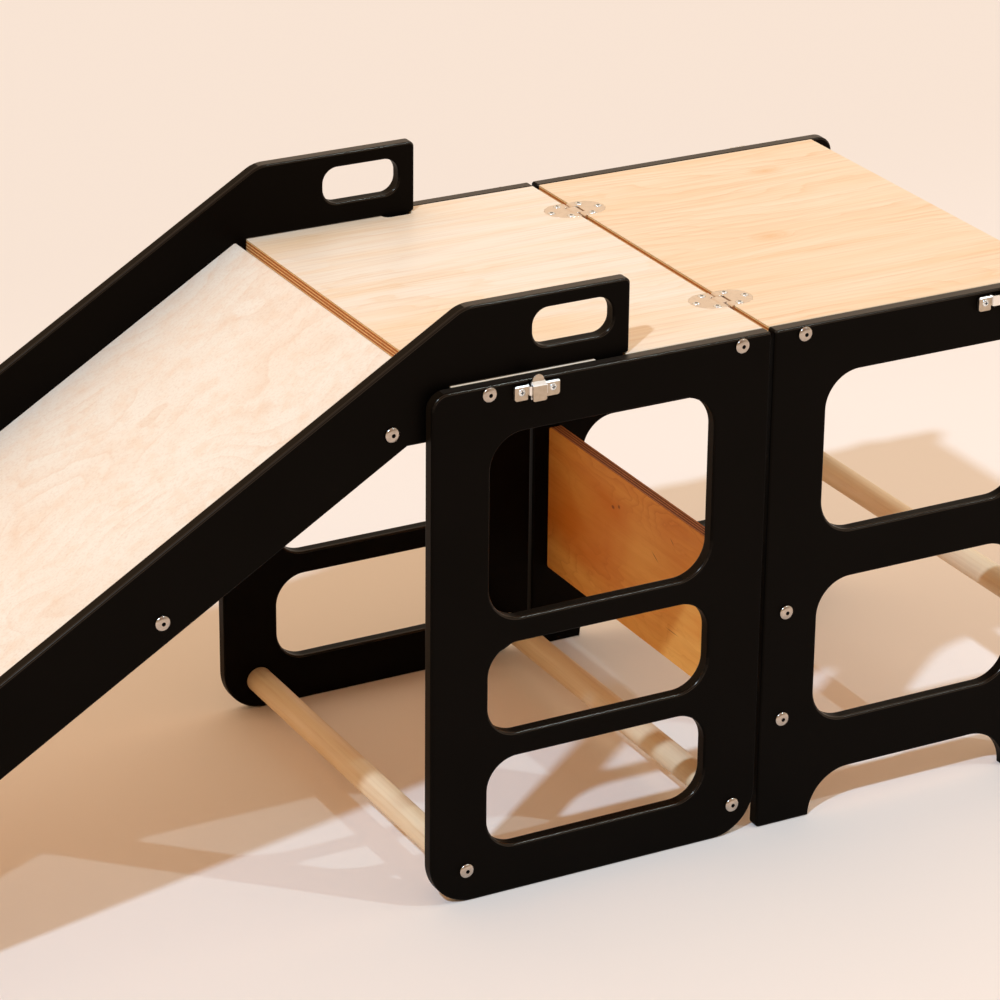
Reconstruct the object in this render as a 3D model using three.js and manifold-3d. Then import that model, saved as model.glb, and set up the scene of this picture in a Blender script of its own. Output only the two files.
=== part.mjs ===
// Folding learning tower, laid out as a low table, with a slide hung on its outer end
// Millimetres, Z up. While building, x = 0 is the hinge line and y = 0 the middle of the width.
import * as THREE from "three";
import { mergeVertices } from "three/addons/utils/BufferGeometryUtils.js";
import Module from "manifold-3d";

// Whole object
const TABLE_HEIGHT = 460;
const OUTER_WIDTH = 418;
const SECTION_LENGTH = 314.7;
const PLY = 12;
const EDGE_ROUNDING = 2;
const BOARD_ROUNDING = 0.5;

// Clearances
const GAP = 0.3;
const PANEL_TO_HINGE_LINE = 1.7;
const BOARD_TO_HINGE_LINE = 3.2;
const BORE_CLEARANCE = 0.1;

// Side panels of the base half
const BASE_OUTER_STILE = 52.9;
const BASE_INNER_STILE = 51.6;
const BASE_BOTTOM_BAR = 43;
const BASE_LOW_WINDOW = 82.5;
const BASE_LOW_BAR = 21.5;
const BASE_MIDDLE_WINDOW = 82.6;
const BASE_HIGH_BAR = 21.8;
const BASE_TOP_BAR = 44.2;
const BASE_FOOT_RADIUS = 40;
const BASE_WINDOW_RADIUS = 28;
const BASE_UPPER_WINDOW_RADIUS = 31;
const OUTER_TOP_RADIUS = 15;
const HINGE_CORNER_RADIUS = 2.5;

// Side panels of the fold half
const FOLD_STILE = 54.9;
const FOOT_LENGTH = 54.9;
const ARCH_HEIGHT = 39;
const FOLD_LOW_BAR = 49;
const FOLD_LOW_WINDOW = 134;
const FOLD_MIDDLE_BAR = 44;
const FOLD_TOP_BAR = 48;
const FOLD_WINDOW_RADIUS = 32;
const FOOT_CORNER_RADIUS = 4;

// Boards and cross bars
const BOARD_END_SET_IN = 23.2;
const GUARD_SET_IN = 17.4;
const GUARD_BOTTOM = 80;
const GUARD_HEIGHT = 142;
const DOWEL_RADIUS = 12;
const DOWEL_STEPS = 24;
const BASE_DOWEL_HEIGHT = 29.3;
const OUTER_DOWEL_SET_IN = 33.6;
const INNER_DOWEL_SET_IN = 24.1;
const FOLD_DOWEL_SET_IN = 25;
const FOLD_DOWEL_HEIGHT = 148;

// Slide
const SLIDE_ANGLE = THREE.MathUtils.degToRad(31.1);
const RAIL_WIDTH = 68;
const RAIL_TO_PANEL = 0.5;
const HANDLE_LENGTH = 163;
const KINK_FROM_HOOK = 12;
const HANDLE_HEIGHT = 65;
const HANDLE_SLOT_LENGTH = 73.4;
const HANDLE_SLOT_HEIGHT = 32.6;
const HANDLE_SLOT_RADIUS = 14;
const HANDLE_POST = 15.4;
const HANDLE_BAR = 12.8;
const HOOK_TO_BOARD = 0.6;
const HOOK_DROP = 43.8;
const TAB_LENGTH = 24;
const TAB_SET_IN = 5;
const TAB_DROP = 12;
const TAB_RADIUS = 5;
const NOTCH_PLAY = 2.25;
const NOTCH_DEPTH = 17;
const NOTCH_RADIUS = 6;
const KINK_RADIUS = 30;
const RAIL_NOSE_RADIUS = 20;
const RAIL_NOSE_REACH = 44;
const CHUTE_SET_UP = 11;
const CHUTE_FROM_HOOK = 10.2;
const CHUTE_LIP = 9;
const CHUTE_SCREW_FIRST = 48;
const CHUTE_SCREW_SPACING = 234;
const CHUTE_SCREWS = 4;
const CHUTE_SCREW_BELOW_SURFACE = 4.8;

// Screws
const SCREW_HEAD_RADIUS = 6.5;
const SCREW_HEAD_HEIGHT = 2.5;
const SCREW_SHANK_RADIUS = 3;
const SCREW_BITE = 25;
const SCREW_STEPS = 12;
const BASE_SCREW_FROM_BOARD_END = 28;
const BASE_SCREW_FROM_HINGE_LINE = 29.6;
const FOLD_SCREW_FROM_HINGE_LINE = 30.8;
const FOLD_SCREW_FROM_BOARD_END = 29.5;
const BOARD_SCREW_BELOW_TABLE = 7.3;
const GUARD_SCREW_FROM_END = 20.6;

// Fold hinges
const HINGE_FROM_BOARD_EDGE = 71.7;
const LEAF_RADIUS = 17.3;
const LEAF_CENTRE = 11.2;
const LEAF_THICKNESS = 3;
const LEAF_TO_HINGE_LINE = 0.7;
const PIN_OFFSET = 3.3;
const PIN_DEPTH = 2.9;
const PIN_RADIUS = 1.5;
const PIN_STEPS = 16;
const LINK_RADIUS = 2.7;
const LINK_WIDTH = 14;
const LINK_END_GAP = 0.5;
const KNUCKLE_WALL = 4;
const KNUCKLE_LENGTH = 9;
const KNUCKLE_DEPTH = 7;

// Latches
const LATCH_TO_SCREW_HEAD = 14.7;
const LATCH_TOP_SET_DOWN = 3.5;
const LATCH_HEIGHT = 13.2;
const LATCH_LENGTH = 41;
const LATCH_TUNNEL = 13.8;
const LATCH_CORNER_RADIUS = 2.5;
const EAR_THICKNESS = 3.2;
const STRAP_HEIGHT = 9;
const STRAP_WALL = 1.5;
const BOLT_SET_OUT = 3;
const BOLT_WIDTH = 12.5;
const BOLT_THICKNESS = 1.6;
const TONGUE_RADIUS = 5.2;
const TONGUE_ABOVE_TABLE = 4.2;
const THUMB_PLATE_BELOW_BRACKET = 0.8;
const THUMB_PLATE_CORNER_RADIUS = 1.8;

const wasm = await Module();
wasm.setup();
const { Manifold } = wasm;

// Places worked out from the sizes above
const innerFace = OUTER_WIDTH / 2 - PLY;
const panelMiddle = OUTER_WIDTH / 2 - PLY / 2;
const boardHalfWidth = innerFace - GAP;
const railMiddle = innerFace - RAIL_TO_PANEL - PLY / 2;
const railInnerFace = railMiddle - PLY / 2;
const railOuterFace = railMiddle + PLY / 2;
const boardMiddle = TABLE_HEIGHT - PLY / 2;
const boardScrewHeight = TABLE_HEIGHT - BOARD_SCREW_BELOW_TABLE;
const boardEnd = SECTION_LENGTH - BOARD_END_SET_IN;
const hookEdge = boardEnd + HOOK_TO_BOARD;
const handleEnd = hookEdge - HANDLE_LENGTH;
const handleKink = hookEdge - KINK_FROM_HOOK;
const chuteTopEnd = hookEdge + CHUTE_FROM_HOOK;
const baseScrewOuter = boardEnd - BASE_SCREW_FROM_BOARD_END;
const latchReach = baseScrewOuter - SCREW_HEAD_RADIUS - LATCH_TO_SCREW_HEAD - LATCH_LENGTH / 2;
const slope = Math.tan(SLIDE_ANGLE);
const upright = 1 / Math.cos(SLIDE_ANGLE);
const handleTop = TABLE_HEIGHT + HANDLE_HEIGHT;
const railTopAt = (reach) => handleTop - (reach - handleKink) * slope;
const railBottomAt = (reach) => railTopAt(reach) - RAIL_WIDTH * upright;
const chuteTopAt = (reach) => railBottomAt(reach) + (CHUTE_SET_UP + PLY) * upright;
const reachWhere = (heightAt, height) => handleKink + (heightAt(handleKink) - height) / slope;
const railFloorReach = reachWhere(railBottomAt, 0);
const noseReach = railFloorReach + RAIL_NOSE_REACH;

// Closed outline from corners [x, y, radius], each round corner as short chords
function outline(corners) {
  const points = [];
  corners.forEach(([x, y, radius = 0], i) => {
    const here = new THREE.Vector2(x, y);
    const [bx, by] = corners.at(i - 1);
    const [ax, ay] = corners[(i + 1) % corners.length];
    const back = new THREE.Vector2(bx, by).sub(here).normalize();
    const on = new THREE.Vector2(ax, ay).sub(here).normalize();
    if (!radius) {
      points.push(here);
      return;
    }
    const half = Math.acos(back.dot(on)) / 2;
    const centre = back.clone().add(on).setLength(radius / Math.sin(half)).add(here);
    const start = here.clone().addScaledVector(back, radius / Math.tan(half)).sub(centre);
    const end = here.clone().addScaledVector(on, radius / Math.tan(half)).sub(centre);
    const sweep = Math.atan2(start.cross(end), start.dot(end));
    const perQuarter = radius > 25 ? 6 : radius > 10 ? 4 : 3;
    const steps = Math.max(1, Math.round((Math.abs(sweep) / Math.PI) * 2 * perQuarter));
    for (let k = 0; k <= steps; k++) {
      points.push(start.clone().rotateAround(new THREE.Vector2(), (sweep * k) / steps).add(centre));
    }
  });
  return points;
}

// Rectangle outline with the same radius at all four corners
const rectangle = (x0, y0, x1, y1, radius) => [
  [x0, y0, radius],
  [x1, y0, radius],
  [x1, y1, radius],
  [x0, y1, radius],
];

// Solid from a geometry, its doubled vertices joined
function solid(geometry) {
  const plain = new THREE.BufferGeometry();
  const flat = geometry.index ? geometry.toNonIndexed() : geometry;
  plain.setAttribute("position", flat.getAttribute("position"));
  const merged = mergeVertices(plain, 1e-4);
  const triVerts = [];
  for (let i = 0; i < merged.index.count; i += 3) {
    const [a, b, c] = [0, 1, 2].map((k) => merged.index.getX(i + k));
    if (a !== b && b !== c && c !== a) triVerts.push(a, b, c);
  }
  return new Manifold(
    new wasm.Mesh({
      numProp: 3,
      vertProperties: merged.getAttribute("position").array,
      triVerts: new Uint32Array(triVerts),
    }),
  );
}

// Plate with the given outline and holes, its thickness centred on the plane, its edges rounded
function plateGeometry(corners, holes, thickness, rounding) {
  const bevelSegments = rounding > 1 ? 2 : 1;
  const shape = new THREE.Shape(outline(corners));
  shape.holes = holes.map((hole) => new THREE.Path(outline(hole)));
  const depth = thickness - 2 * rounding;
  return new THREE.ExtrudeGeometry(shape, {
    depth,
    bevelEnabled: rounding > 0,
    bevelThickness: rounding,
    bevelSize: rounding,
    bevelOffset: -rounding,
    bevelSegments,
  }).translate(0, 0, -depth / 2);
}

// Plate standing in X and Z, or lying in X and Y
const standing = (...plate) => solid(plateGeometry(...plate).rotateX(Math.PI / 2));
const lying = (...plate) => solid(plateGeometry(...plate));

// Round bar along Y
const barAlongY = (radius, length, steps) =>
  solid(new THREE.CylinderGeometry(radius, radius, length, steps));

const block = (x0, x1, y0, y1, z0, z1) =>
  solid(
    new THREE.BoxGeometry(x1 - x0, y1 - y0, z1 - z0).translate(
      (x0 + x1) / 2,
      (y0 + y1) / 2,
      (z0 + z1) / 2,
    ),
  );

// Screw holes through both sides at a place in X and Z, from past the head face to the screws' tips
function screwBores(x, z, headFace) {
  const bottom = headFace - PLY - SCREW_BITE - GAP;
  const length = headFace - bottom + PLY;
  const bore = barAlongY(SCREW_SHANK_RADIUS + GAP, length, SCREW_STEPS);
  return [-1, 1].map((side) => bore.translate([x, side * (bottom + length / 2), z]));
}

const drilled = (body, holes) => holes.reduce((rest, hole) => rest.subtract(hole), body);
const drilledAt = (body, places, headFace = OUTER_WIDTH / 2) =>
  drilled(body, places.flatMap(([x, z]) => screwBores(x, z, headFace)));

const group = new THREE.Group();
group.name = "learning_tower_with_slide";
const shown = new THREE.Group();
shown.position.x = (noseReach - SECTION_LENGTH) / 2;
group.add(shown);

const finishes = {
  lacquer: { color: 0x1c1917, roughness: 0.45, metalness: 0 },
  birch: { color: 0xecd3ad, roughness: 0.5, metalness: 0 },
  beech: { color: 0xe2c39a, roughness: 0.55, metalness: 0 },
  steel: { color: 0xb9b6b0, roughness: 0.3, metalness: 1 },
  nickel: { color: 0xa9a59c, roughness: 0.35, metalness: 1 },
};

// One named piece of the model, placed in X, Y and Z
function piece(name, body, finish, position = [0, 0, 0]) {
  const mesh = body.getMesh();
  const geometry = new THREE.BufferGeometry();
  geometry.setAttribute("position", new THREE.BufferAttribute(mesh.vertProperties, 3));
  geometry.setIndex(new THREE.BufferAttribute(mesh.triVerts, 1));
  const plain = geometry.toNonIndexed();
  plain.computeVertexNormals();
  const part = new THREE.Mesh(plain, new THREE.MeshStandardMaterial(finishes[finish]));
  part.name = name;
  part.position.set(...position);
  shown.add(part);
}

const sides = [
  ["near", -1],
  ["far", 1],
];

// Screw along Y with a button head outside, the shank pointing inwards
const screwProfile = [
  [0, SCREW_HEAD_HEIGHT],
  [SCREW_HEAD_RADIUS * 0.6, SCREW_HEAD_HEIGHT * 0.85],
  [SCREW_HEAD_RADIUS, SCREW_HEAD_HEIGHT * 0.3],
  [SCREW_HEAD_RADIUS, GAP],
  [SCREW_SHANK_RADIUS, GAP],
  [SCREW_SHANK_RADIUS, -PLY - SCREW_BITE],
  [0, -PLY - SCREW_BITE],
].map(([r, y]) => new THREE.Vector2(r, y));
const screwOut = solid(new THREE.LatheGeometry(screwProfile.reverse(), SCREW_STEPS));

// A pair of screws at each place, their heads on the faces at the given distance from the middle
function screws(name, places, headFace) {
  let count = 0;
  for (const [x, z] of places) {
    for (const [, side] of sides) {
      count += 1;
      const turned = side > 0 ? screwOut : screwOut.rotate([180, 0, 0]);
      piece(`${name}_${count}`, turned, "steel", [x, side * headFace, z]);
    }
  }
}

// Base half: side panels with three windows
const baseBoardScrews = [
  [-baseScrewOuter, boardScrewHeight],
  [-BASE_SCREW_FROM_HINGE_LINE, boardScrewHeight],
];
const baseDowels = [
  ["outer", -(SECTION_LENGTH - OUTER_DOWEL_SET_IN)],
  ["inner", -INNER_DOWEL_SET_IN],
];
const baseDowelScrews = baseDowels.map(([, x]) => [x, BASE_DOWEL_HEIGHT]);
const baseScrewPlaces = [...baseBoardScrews, ...baseDowelScrews];
const windowOuter = -(SECTION_LENGTH - BASE_OUTER_STILE);
const windowInner = -(PANEL_TO_HINGE_LINE + BASE_INNER_STILE);
const lowWindowTop = BASE_BOTTOM_BAR + BASE_LOW_WINDOW;
const middleWindowBottom = lowWindowTop + BASE_LOW_BAR;
const middleWindowTop = middleWindowBottom + BASE_MIDDLE_WINDOW;
const baseWindows = [
  [BASE_BOTTOM_BAR, lowWindowTop, BASE_WINDOW_RADIUS],
  [middleWindowBottom, middleWindowTop, BASE_WINDOW_RADIUS],
  [middleWindowTop + BASE_HIGH_BAR, TABLE_HEIGHT - BASE_TOP_BAR, BASE_UPPER_WINDOW_RADIUS],
].map(([bottom, top, radius]) => rectangle(windowOuter, bottom, windowInner, top, radius));
const baseOutline = [
  [-SECTION_LENGTH, 0, BASE_FOOT_RADIUS],
  [-PANEL_TO_HINGE_LINE, 0, BASE_FOOT_RADIUS],
  [-PANEL_TO_HINGE_LINE, TABLE_HEIGHT, HINGE_CORNER_RADIUS],
  [-SECTION_LENGTH, TABLE_HEIGHT, OUTER_TOP_RADIUS],
];
const basePanel = standing(baseOutline, baseWindows, PLY, EDGE_ROUNDING);
for (const [label, side] of sides) {
  const placed = basePanel.translate([0, side * panelMiddle, 0]);
  piece(`base_side_${label}`, drilledAt(placed, baseScrewPlaces), "lacquer");
}
screws("base_screw", baseScrewPlaces, OUTER_WIDTH / 2);

// Base half: cross bars
for (const [label, x] of baseDowels) {
  const bar = barAlongY(DOWEL_RADIUS, 2 * boardHalfWidth, DOWEL_STEPS);
  const placed = bar.translate([x, 0, BASE_DOWEL_HEIGHT]);
  piece(`base_dowel_${label}`, drilledAt(placed, baseDowelScrews), "beech");
}

// Fold half: side panels with two windows and an arch at the floor
const foldBoardScrews = [
  [FOLD_SCREW_FROM_HINGE_LINE, boardScrewHeight],
  [boardEnd - FOLD_SCREW_FROM_BOARD_END, boardScrewHeight],
];
const guardMiddle = GUARD_SET_IN + PLY / 2;
const guardTop = GUARD_BOTTOM + GUARD_HEIGHT;
const guardScrews = [
  [guardMiddle, guardTop - GUARD_SCREW_FROM_END],
  [guardMiddle, GUARD_BOTTOM + GUARD_SCREW_FROM_END],
];
const foldDowelX = SECTION_LENGTH - FOLD_DOWEL_SET_IN;
const foldDowelScrews = [[foldDowelX, FOLD_DOWEL_HEIGHT]];
const foldScrewPlaces = [...foldBoardScrews, ...guardScrews, ...foldDowelScrews];
const foldLowBottom = ARCH_HEIGHT + FOLD_LOW_BAR;
const foldLowTop = foldLowBottom + FOLD_LOW_WINDOW;
const foldWindows = [
  [foldLowBottom, foldLowTop],
  [foldLowTop + FOLD_MIDDLE_BAR, TABLE_HEIGHT - FOLD_TOP_BAR],
].map(([bottom, top]) =>
  rectangle(FOLD_STILE, bottom, SECTION_LENGTH - FOLD_STILE, top, FOLD_WINDOW_RADIUS),
);
const foldOutline = [
  [PANEL_TO_HINGE_LINE, 0, FOOT_CORNER_RADIUS],
  [FOOT_LENGTH, 0],
  [FOOT_LENGTH, ARCH_HEIGHT, ARCH_HEIGHT],
  [SECTION_LENGTH - FOOT_LENGTH, ARCH_HEIGHT, ARCH_HEIGHT],
  [SECTION_LENGTH - FOOT_LENGTH, 0],
  [SECTION_LENGTH, 0, FOOT_CORNER_RADIUS],
  [SECTION_LENGTH, TABLE_HEIGHT, OUTER_TOP_RADIUS],
  [PANEL_TO_HINGE_LINE, TABLE_HEIGHT, HINGE_CORNER_RADIUS],
];
const foldPanel = standing(foldOutline, foldWindows, PLY, EDGE_ROUNDING);
for (const [label, side] of sides) {
  const placed = foldPanel.translate([0, side * panelMiddle, 0]);
  piece(`fold_side_${label}`, drilledAt(placed, foldScrewPlaces), "lacquer");
}
screws("fold_screw", foldScrewPlaces, OUTER_WIDTH / 2);

// Fold half: guard board and cross bar
const guardLength = 2 * boardHalfWidth;
const guardPlate = plateGeometry(
  rectangle(-guardLength / 2, GUARD_BOTTOM, guardLength / 2, guardTop, 3),
  [],
  PLY,
  BOARD_ROUNDING,
);
guardPlate.rotateX(Math.PI / 2).rotateZ(Math.PI / 2).translate(guardMiddle, 0, 0);
piece("fold_guard_board", drilledAt(solid(guardPlate), guardScrews), "birch");
const foldBar = barAlongY(DOWEL_RADIUS, guardLength, DOWEL_STEPS);
const foldBarPlaced = foldBar.translate([foldDowelX, 0, FOLD_DOWEL_HEIGHT]);
piece("fold_dowel", drilledAt(foldBarPlaced, foldDowelScrews), "beech");

// Hinges: round leaf with a knuckle block under it, mirrored for the two halves
const pinHeight = TABLE_HEIGHT - PIN_DEPTH;
const linkSlotReach = PIN_OFFSET + LINK_RADIUS + LINK_END_GAP;
const linkSlotHalf = LINK_WIDTH / 2 + GAP;
const knuckleHalf = linkSlotHalf + KNUCKLE_WALL;
const pinLength = 2 * (knuckleHalf - GAP);
const hingeY = boardHalfWidth - HINGE_FROM_BOARD_EDGE;

// Outline of a leaf from above: square at the hinge line, a half circle at the other end
const leafOutline = (start, radius) => [
  [start, -radius],
  [LEAF_CENTRE + radius, -radius, radius],
  [LEAF_CENTRE + radius, radius, radius],
  [start, radius],
];

// Leaf of the half on the plus side of the hinge line, with the link's slot and the pin's bore
function leaf() {
  const plate = lying(leafOutline(LEAF_TO_HINGE_LINE, LEAF_RADIUS), [], LEAF_THICKNESS, 0);
  const knuckle = block(
    LEAF_TO_HINGE_LINE,
    KNUCKLE_LENGTH,
    -knuckleHalf,
    knuckleHalf,
    TABLE_HEIGHT - KNUCKLE_DEPTH,
    TABLE_HEIGHT - LEAF_THICKNESS / 2,
  );
  const slot = block(-1, linkSlotReach, -linkSlotHalf, linkSlotHalf, 0, TABLE_HEIGHT + 1);
  const bore = barAlongY(PIN_RADIUS + BORE_CLEARANCE, 2 * knuckleHalf + 2, PIN_STEPS);
  return plate
    .translate([0, 0, TABLE_HEIGHT - LEAF_THICKNESS / 2])
    .add(knuckle)
    .intersect(roundedAtHinge())
    .subtract(slot)
    .subtract(bore.translate([PIN_OFFSET, 0, pinHeight]));
}

// Space that a leaf may fill: its top edge at the hinge line is rounded to swing past the other
function roundedAtHinge() {
  const reach = LEAF_CENTRE + LEAF_RADIUS + 1;
  const corners = [
    [LEAF_TO_HINGE_LINE, TABLE_HEIGHT - KNUCKLE_DEPTH],
    [reach, TABLE_HEIGHT - KNUCKLE_DEPTH],
    [reach, TABLE_HEIGHT],
    [LEAF_TO_HINGE_LINE, TABLE_HEIGHT, EDGE_ROUNDING],
  ];
  return standing(corners, [], 2 * LEAF_RADIUS, 0);
}

// Recess in a board for the leaf, and for the link that swings out of it
function leafRecess() {
  const depth = LEAF_THICKNESS + GAP;
  const plate = lying(leafOutline(-1, LEAF_RADIUS + GAP), [], 2 * depth, 0);
  const pocket = block(
    -1,
    KNUCKLE_LENGTH + GAP,
    -knuckleHalf - GAP,
    knuckleHalf + GAP,
    TABLE_HEIGHT - KNUCKLE_DEPTH - GAP,
    TABLE_HEIGHT + 1,
  );
  return plate.translate([0, 0, TABLE_HEIGHT]).add(pocket);
}

const leafPlus = leaf();
const recessPlus = leafRecess();
const leafMinus = leafPlus.mirror([1, 0, 0]);
const recessMinus = recessPlus.mirror([1, 0, 0]);
const linkOutline = rectangle(
  -PIN_OFFSET - LINK_RADIUS,
  pinHeight - LINK_RADIUS,
  PIN_OFFSET + LINK_RADIUS,
  pinHeight + LINK_RADIUS,
  LINK_RADIUS - 0.05,
);
const linkBores = [-1, 1].map((way) =>
  barAlongY(PIN_RADIUS + BORE_CLEARANCE, LINK_WIDTH + 2, PIN_STEPS).translate([
    way * PIN_OFFSET,
    0,
    pinHeight,
  ]),
);
const link = drilled(standing(linkOutline, [], LINK_WIDTH, 0), linkBores);
const pin = barAlongY(PIN_RADIUS, pinLength, PIN_STEPS);
for (const [label, side] of sides) {
  const at = [0, side * hingeY, 0];
  piece(`hinge_${label}_base_leaf`, leafMinus, "nickel", at);
  piece(`hinge_${label}_fold_leaf`, leafPlus, "nickel", at);
  piece(`hinge_${label}_link`, link, "nickel", at);
  piece(`hinge_${label}_base_pin`, pin, "steel", [-PIN_OFFSET, at[1], pinHeight]);
  piece(`hinge_${label}_fold_pin`, pin, "steel", [PIN_OFFSET, at[1], pinHeight]);
}

// Top boards, drilled for screws and recessed for hinges, the base one notched for the tabs
const tabInner = handleEnd + TAB_SET_IN;
const tabOuter = tabInner + TAB_LENGTH;
function notched(side) {
  const inner = side * (boardHalfWidth - NOTCH_DEPTH + GAP);
  const outer = side * boardHalfWidth;
  return [
    [-(tabInner - NOTCH_PLAY), outer],
    [-(tabInner - NOTCH_PLAY), inner, NOTCH_RADIUS],
    [-(tabOuter + NOTCH_PLAY), inner, NOTCH_RADIUS],
    [-(tabOuter + NOTCH_PLAY), outer],
  ];
}
const baseBoardOutline = [
  [-BOARD_TO_HINGE_LINE, -boardHalfWidth],
  [-BOARD_TO_HINGE_LINE, boardHalfWidth],
  ...notched(1),
  [-boardEnd, boardHalfWidth],
  [-boardEnd, -boardHalfWidth],
  ...notched(-1).reverse(),
];
const foldBoardOutline = [
  [BOARD_TO_HINGE_LINE, -boardHalfWidth],
  [boardEnd, -boardHalfWidth],
  [boardEnd, boardHalfWidth],
  [BOARD_TO_HINGE_LINE, boardHalfWidth],
];
function topBoard(corners, recess, screwPlaces) {
  const board = lying(corners, [], PLY, BOARD_ROUNDING).translate([0, 0, boardMiddle]);
  const recesses = sides.map(([, side]) => recess.translate([0, side * hingeY, 0]));
  return drilledAt(drilled(board, recesses), screwPlaces);
}
piece("base_top_board", topBoard(baseBoardOutline, recessMinus, baseBoardScrews), "birch");
piece("fold_top_board", topBoard(foldBoardOutline, recessPlus, foldBoardScrews), "birch");

// Slide rails: handle with hand slot, tab, hook, long slope and a foot flat on the floor
const slotInner = -(handleEnd + HANDLE_POST);
const slotTop = handleTop - HANDLE_BAR;
const railOutline = [
  [-handleEnd, handleTop, 5],
  [-handleKink, handleTop, KINK_RADIUS],
  [-noseReach, railTopAt(noseReach), RAIL_NOSE_RADIUS],
  [-noseReach, 0, RAIL_NOSE_RADIUS / 2],
  [-railFloorReach, 0],
  [-reachWhere(railBottomAt, TABLE_HEIGHT - HOOK_DROP), TABLE_HEIGHT - HOOK_DROP],
  [-hookEdge, TABLE_HEIGHT - HOOK_DROP],
  [-hookEdge, TABLE_HEIGHT + GAP],
  [-tabOuter, TABLE_HEIGHT + GAP],
  [-tabOuter, TABLE_HEIGHT - TAB_DROP, TAB_RADIUS],
  [-tabInner, TABLE_HEIGHT - TAB_DROP, TAB_RADIUS],
  [-tabInner, TABLE_HEIGHT + GAP],
  [-handleEnd, TABLE_HEIGHT + GAP, 2.5],
];
const handSlot = rectangle(
  slotInner - HANDLE_SLOT_LENGTH,
  slotTop - HANDLE_SLOT_HEIGHT,
  slotInner,
  slotTop,
  HANDLE_SLOT_RADIUS,
);
const rail = standing(railOutline, [handSlot], PLY, EDGE_ROUNDING);

// Chute board between the rails, its lower end cut flat on the floor
const chuteLipReach = reachWhere(chuteTopAt, CHUTE_LIP);
const chuteUnderAt = (reach) => chuteTopAt(reach) - PLY * upright;
const chuteTopHeight = chuteTopAt(chuteTopEnd);
const chuteOutline = [
  [-chuteTopEnd, chuteTopHeight, 2.5],
  [-chuteLipReach, CHUTE_LIP, 2],
  [-chuteLipReach, 0],
  [-reachWhere(chuteUnderAt, 0), 0],
  [
    -(chuteTopEnd - PLY * Math.sin(SLIDE_ANGLE)),
    chuteTopHeight - PLY * Math.cos(SLIDE_ANGLE),
    2.5,
  ],
];
const chute = standing(chuteOutline, [], 2 * (railInnerFace - GAP), 0);
const chuteScrewPlaces = Array.from({ length: CHUTE_SCREWS }, (_, i) => {
  const along = CHUTE_SCREW_FIRST + i * CHUTE_SCREW_SPACING;
  const reach = chuteTopEnd + along * Math.cos(SLIDE_ANGLE);
  return [-reach, chuteTopAt(reach) - CHUTE_SCREW_BELOW_SURFACE * upright];
});
for (const [label, side] of sides) {
  const placed = rail.translate([0, side * railMiddle, 0]);
  piece(`slide_rail_${label}`, drilledAt(placed, chuteScrewPlaces, railOuterFace), "lacquer");
}
piece("slide_board", drilledAt(chute, chuteScrewPlaces, railOuterFace), "birch");
screws("slide_screw", chuteScrewPlaces, railOuterFace);

// Latch bracket and keeper: two ears and a strap that leaves a tunnel, standing proud of the panel
const tongueFront = BOLT_SET_OUT + BOLT_THICKNESS;
const tunnelRoof = tongueFront + GAP;
const strapOuter = tunnelRoof + STRAP_WALL;
const earOuter = GAP + EAR_THICKNESS;
const latchTop = TABLE_HEIGHT - LATCH_TOP_SET_DOWN;
const latchBottom = latchTop - LATCH_HEIGHT;
const strapHalf = LATCH_TUNNEL / 2 + STRAP_WALL;
const bracketSide = (way) => [
  [(way * LATCH_TUNNEL) / 2, tunnelRoof],
  [(way * LATCH_TUNNEL) / 2, GAP],
  [(way * LATCH_LENGTH) / 2, GAP],
  [(way * LATCH_LENGTH) / 2, earOuter, 1],
  [way * strapHalf, earOuter],
  [way * strapHalf, strapOuter, 1],
];
const bracketOutline = [...bracketSide(1), ...bracketSide(-1).reverse()];
const latchFront = rectangle(
  -LATCH_LENGTH / 2,
  latchBottom,
  LATCH_LENGTH / 2,
  latchTop,
  LATCH_CORNER_RADIUS,
);
const underStrap = block(
  -strapHalf,
  strapHalf,
  0,
  2 * strapOuter,
  latchBottom - 1,
  latchTop - STRAP_HEIGHT,
);
const bracketOut = lying(bracketOutline, [], LATCH_HEIGHT, 0)
  .translate([0, 0, (latchTop + latchBottom) / 2])
  .intersect(standing(latchFront, [], 3 * strapOuter, 0))
  .subtract(underStrap);

// Bolt: tongue in the tunnel, bent over the strap into a thumb plate in front of it
const thumbBack = strapOuter + GAP;
const thumbFront = thumbBack + BOLT_THICKNESS;
const thumbBottom = latchBottom - THUMB_PLATE_BELOW_BRACKET;
const bendUnder = latchTop + GAP;
const bendTop = bendUnder + BOLT_THICKNESS;
const boltProfile = [
  [BOLT_SET_OUT, latchBottom],
  [tongueFront, latchBottom],
  [tongueFront, bendUnder],
  [thumbBack, bendUnder],
  [thumbBack, thumbBottom],
  [thumbFront, thumbBottom, 0.6],
  [thumbFront, bendTop, 1.2],
  [BOLT_SET_OUT, bendTop],
];
const boltBent = plateGeometry(boltProfile, [], BOLT_WIDTH, 0);
boltBent.rotateX(Math.PI / 2).rotateZ(Math.PI / 2);
const tongueCentre = TABLE_HEIGHT + TONGUE_ABOVE_TABLE - TONGUE_RADIUS;
const tongueDisc = barAlongY(TONGUE_RADIUS, BOLT_THICKNESS, 24);
const tongueMiddle = BOLT_SET_OUT + BOLT_THICKNESS / 2;
const thumbOutline = [
  [-BOLT_WIDTH / 2, thumbBottom, THUMB_PLATE_CORNER_RADIUS],
  [BOLT_WIDTH / 2, thumbBottom, THUMB_PLATE_CORNER_RADIUS],
  [BOLT_WIDTH / 2, bendTop + 1],
  [-BOLT_WIDTH / 2, bendTop + 1],
];
const boltOut = solid(boltBent)
  .intersect(standing(thumbOutline, [], 3 * thumbFront, 0))
  .add(tongueDisc.translate([0, tongueMiddle, tongueCentre]));
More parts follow.
